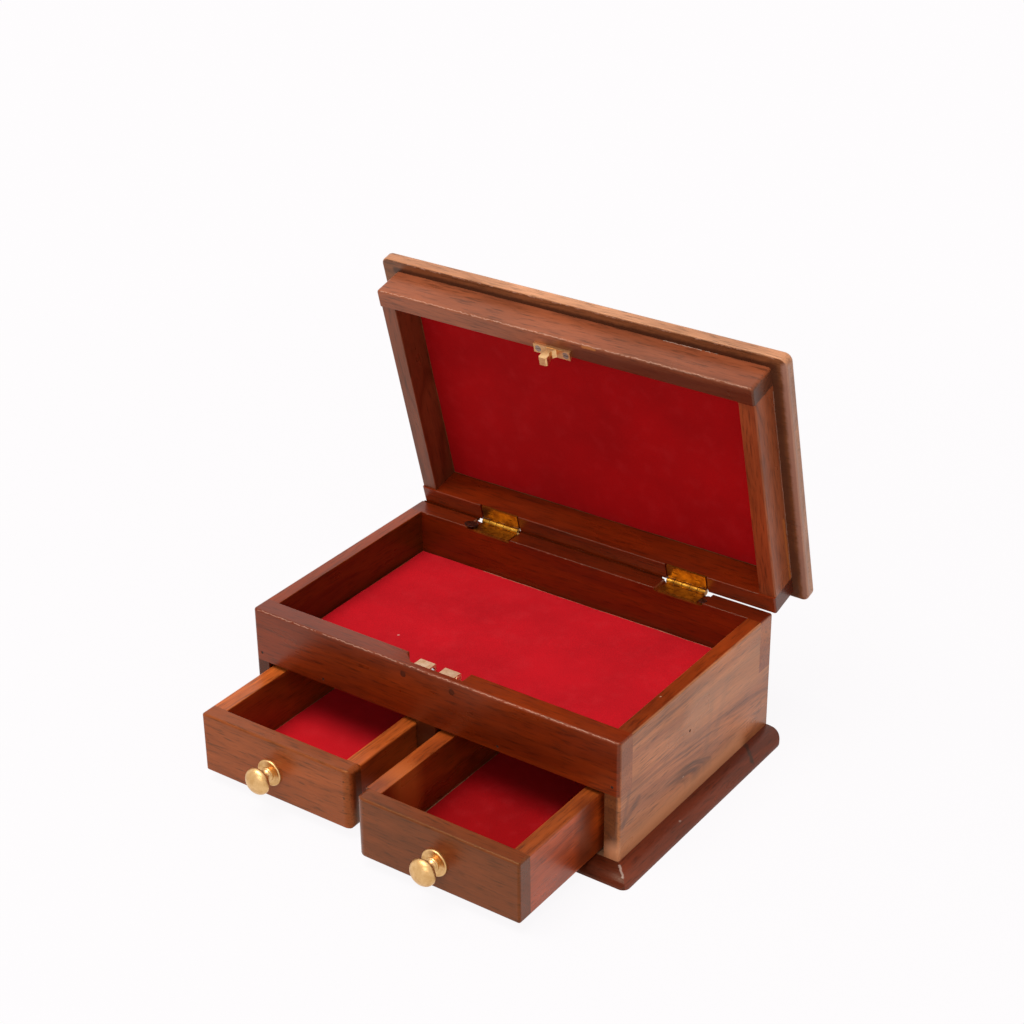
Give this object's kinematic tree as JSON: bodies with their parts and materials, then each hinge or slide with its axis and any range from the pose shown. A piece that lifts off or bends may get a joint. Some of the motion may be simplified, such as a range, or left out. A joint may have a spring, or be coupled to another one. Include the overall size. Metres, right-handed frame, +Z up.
{
  "type": "ring box with drawer",
  "caption": "Wooden ring box with a velvet tray under a hinged lid that shuts on a ball catch, and drawers with turned brass knobs side by side below, on a base edged with moulding.",
  "frame": {"origin": "middle of the case's plan, on the surface that the box stands on", "axes": "+X along the front from the left drawer to the right one, +Y from the front to the hinges, +Z up"},
  "size_m": [0.253, 0.2552, 0.231],
  "materials": {
    "case_wood": "satin",
    "lid_top_wood": "satin",
    "drawer_wood": "satin",
    "inner_board": "matte",
    "brass": "satin",
    "steel": "satin",
    "tray_velvet": "matte",
    "crimson_velvet": "matte"
  },
  "bodies": {
    "case": {"moulding_front": "case_wood", "moulding_left": "case_wood", "moulding_right": "case_wood", "left_side": "case_wood", "right_side": "case_wood", "front_rail": "case_wood", "back_rail": "case_wood", "back_panel": "case_wood", "centre_divider": "case_wood", "rail_plugs": "case_wood", "base_board": "inner_board", "tray_floor": "inner_board", "tray_lining": "tray_velvet", "panel_pins": "steel", "left_hinge_case_leaf": "brass", "right_hinge_case_leaf": "brass", "hinge_pins": "brass", "catch_body": "brass", "catch_set_screws": "brass", "hinge_case_screws": "brass", "catch_screws": "brass", "catch_left_spring": "steel", "catch_right_spring": "steel"},
    "left_ball": {"catch_left_ball": "steel"},
    "right_ball": {"catch_right_ball": "steel"},
    "lid": {"lid_board": "lid_top_wood", "lid_front_member": "case_wood", "lid_back_member": "case_wood", "lid_left_member": "case_wood", "lid_right_member": "case_wood", "lid_lining": "crimson_velvet", "strike": "brass", "strike_screws": "steel", "left_hinge_lid_leaf": "brass", "right_hinge_lid_leaf": "brass", "hinge_lid_screws": "brass"},
    "left_drawer": {"left_drawer_front": "drawer_wood", "left_drawer_left_side": "drawer_wood", "left_drawer_right_side": "drawer_wood", "left_drawer_back": "drawer_wood", "left_drawer_bottom": "inner_board", "left_drawer_lining": "crimson_velvet", "left_drawer_knob": "brass", "left_drawer_knob_screw": "steel"},
    "right_drawer": {"right_drawer_front": "drawer_wood", "right_drawer_left_side": "drawer_wood", "right_drawer_right_side": "drawer_wood", "right_drawer_back": "drawer_wood", "right_drawer_bottom": "inner_board", "right_drawer_lining": "crimson_velvet", "right_drawer_knob": "brass", "right_drawer_knob_screw": "steel"}
  },
  "joints": [
    {"name": "lid_hinge", "type": "hinge", "parent": "case", "child": "lid", "pos_m": [0, 0.07405, 0.0747], "axis": [-1, 0, 0], "range_deg": [-75.5, 79.5]},
    {"name": "left_drawer_slide", "type": "slide", "parent": "case", "child": "left_drawer", "axis": [0, -1, 0], "range_m": [-0.054, 0.056]},
    {"name": "right_drawer_slide", "type": "slide", "parent": "case", "child": "right_drawer", "axis": [0, -1, 0], "range_m": [-0.067, 0.043]},
    {"name": "left_ball_slide", "type": "slide", "parent": "case", "child": "left_ball", "axis": [1, 0, 0], "range_m": [-0.001, 0], "stiffness_N_per_m": 2000, "deforming": ["catch_left_spring"]},
    {"name": "right_ball_slide", "type": "slide", "parent": "case", "child": "right_ball", "axis": [1, 0, 0], "range_m": [0, 0.001], "stiffness_N_per_m": 2000, "deforming": ["catch_right_spring"]}
  ]
}
